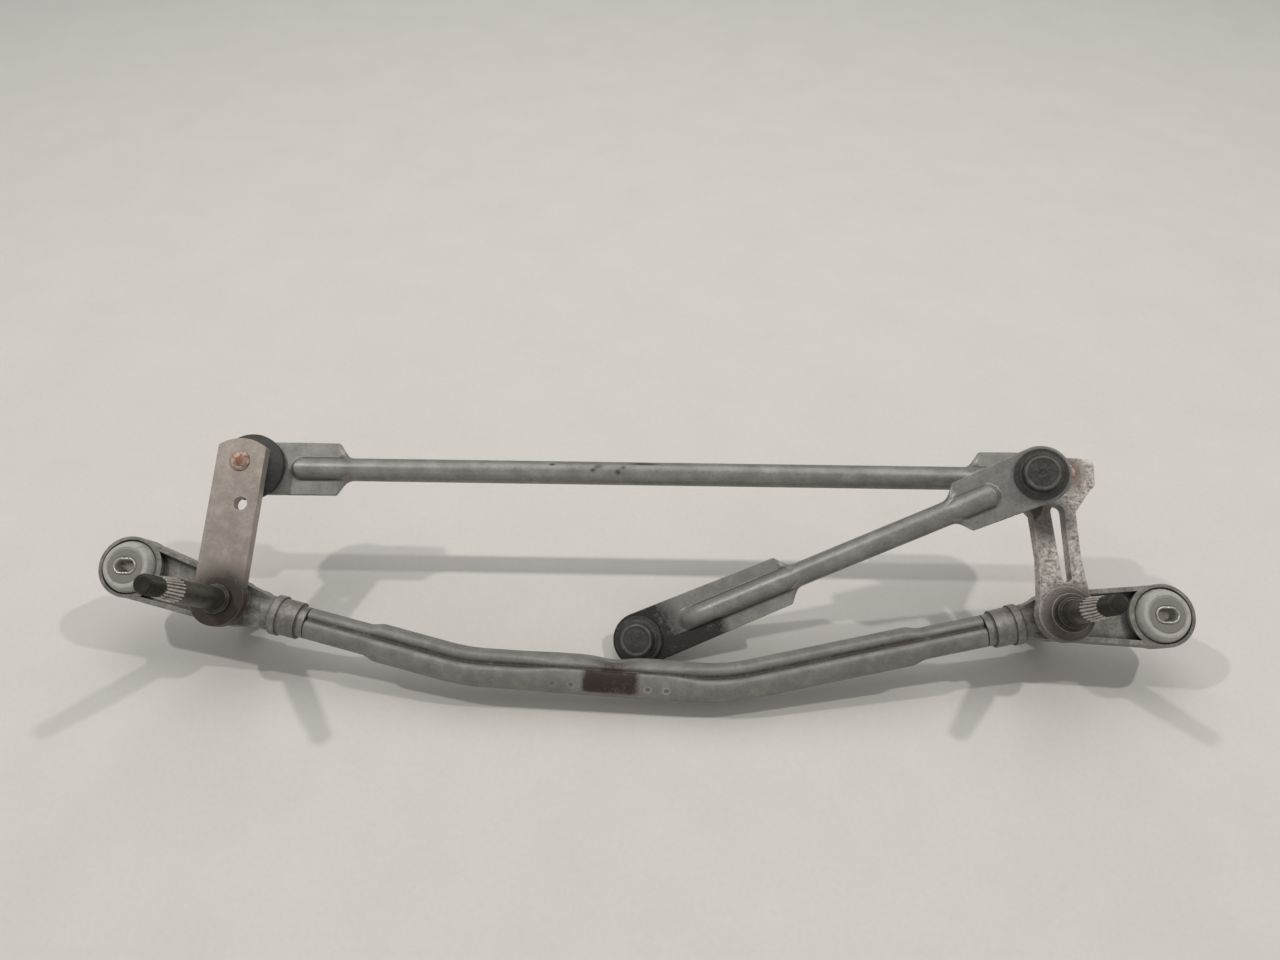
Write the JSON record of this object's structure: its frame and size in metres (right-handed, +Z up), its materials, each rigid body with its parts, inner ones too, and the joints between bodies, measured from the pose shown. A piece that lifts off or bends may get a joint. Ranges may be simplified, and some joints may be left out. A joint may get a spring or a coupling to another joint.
{
  "type": "wiper linkage",
  "caption": "Windscreen wiper linkage: a bent tube frame joins two cast pivot housings, whose shafts are turned together by flat cranks, a tie rod and a drive rod with ball joints.",
  "frame": {"origin": "centre of the assembly's bounding box at the table plane it lies on", "axes": "+X along the line of the two pivots from left to right, +Y to the rear where the cranks and rods are, +Z up from the table; the pivot shafts lean 33 degrees from +Z towards -Y"},
  "size_m": [0.596, 0.1327, 0.1194],
  "materials": {
    "zinc_tube": "zinc-plated steel tube, satin, lightly stained",
    "die_casting": "die-cast alloy, dull and mottled",
    "bronze": "sintered bronze",
    "dark_plastic": "dark plastic thrust ring",
    "grey_rubber": "pale grey rubber",
    "sleeve_metal": "plain steel sleeve",
    "shaft_steel": "dark phosphated steel",
    "plate_steel": "stamped steel plate, passivated, warm grey",
    "stud_steel": "steel ball stud, riveted head touched with rust",
    "spring_steel": "spring steel",
    "crank_casting": "cast crank, speckled brown-grey",
    "zinc_rod": "zinc-plated rolled sheet",
    "black_plastic": "black greased plastic",
    "black_rubber": "black rubber"
  },
  "bodies": {
    "frame": {"frame_tube": "zinc_tube", "left_housing": "die_casting", "right_housing": "die_casting", "left_upper_bush": "bronze", "left_lower_bush": "bronze", "right_upper_bush": "bronze", "right_lower_bush": "bronze", "left_seal": "dark_plastic", "right_seal": "dark_plastic", "left_grommet": "grey_rubber", "right_grommet": "grey_rubber", "left_grommet_sleeve": "sleeve_metal", "right_grommet_sleeve": "sleeve_metal"},
    "left_crank": {"left_shaft": "shaft_steel", "left_crank_plate": "plate_steel", "left_ball_stud": "stud_steel", "left_washer": "spring_steel", "left_circlip": "spring_steel"},
    "right_crank": {"right_shaft": "shaft_steel", "right_crank_arm": "crank_casting", "right_tie_stud": "stud_steel", "right_drive_stud": "stud_steel", "right_washer": "spring_steel", "right_circlip": "spring_steel"},
    "tie_rod": {"tie_rod": "zinc_rod", "tie_left_socket": "black_plastic", "tie_right_socket": "black_plastic", "tie_left_boot": "black_rubber", "tie_right_boot": "black_rubber"},
    "drive_rod": {"drive_rod": "zinc_rod", "drive_crank_socket": "black_plastic", "drive_free_socket": "black_plastic", "drive_crank_boot": "black_rubber"}
  },
  "joints": [
    {"name": "right_pivot", "type": "hinge", "parent": "frame", "child": "right_crank", "pos_m": [0.225, -0.01067, 0.03757], "axis": [0, -0.5446, 0.8387], "range_deg": [-40, 30]},
    {"name": "left_pivot", "type": "hinge", "parent": "frame", "child": "left_crank", "pos_m": [-0.225, -0.01067, 0.03757], "axis": [0, -0.5446, 0.8387], "range_deg": [-41, 31]},
    {"name": "tie_rod_ball", "type": "hinge", "parent": "right_crank", "child": "tie_rod", "pos_m": [0.22964, 0.05186, 0.08057], "axis": [0, -0.5446, 0.8387], "range_deg": [-31, 41]},
    {"name": "drive_rod_ball", "type": "hinge", "parent": "right_crank", "child": "drive_rod", "pos_m": [0.2109, 0.03053, 0.10487], "axis": [0, -0.5446, 0.8387], "range_deg": [-31, 41]}
  ],
  "couplings": [
    {"joint": "left_pivot", "follows": "right_pivot", "ratio": 1},
    {"joint": "tie_rod_ball", "follows": "right_pivot", "ratio": -1},
    {"joint": "drive_rod_ball", "follows": "right_pivot", "ratio": -1}
  ]
}
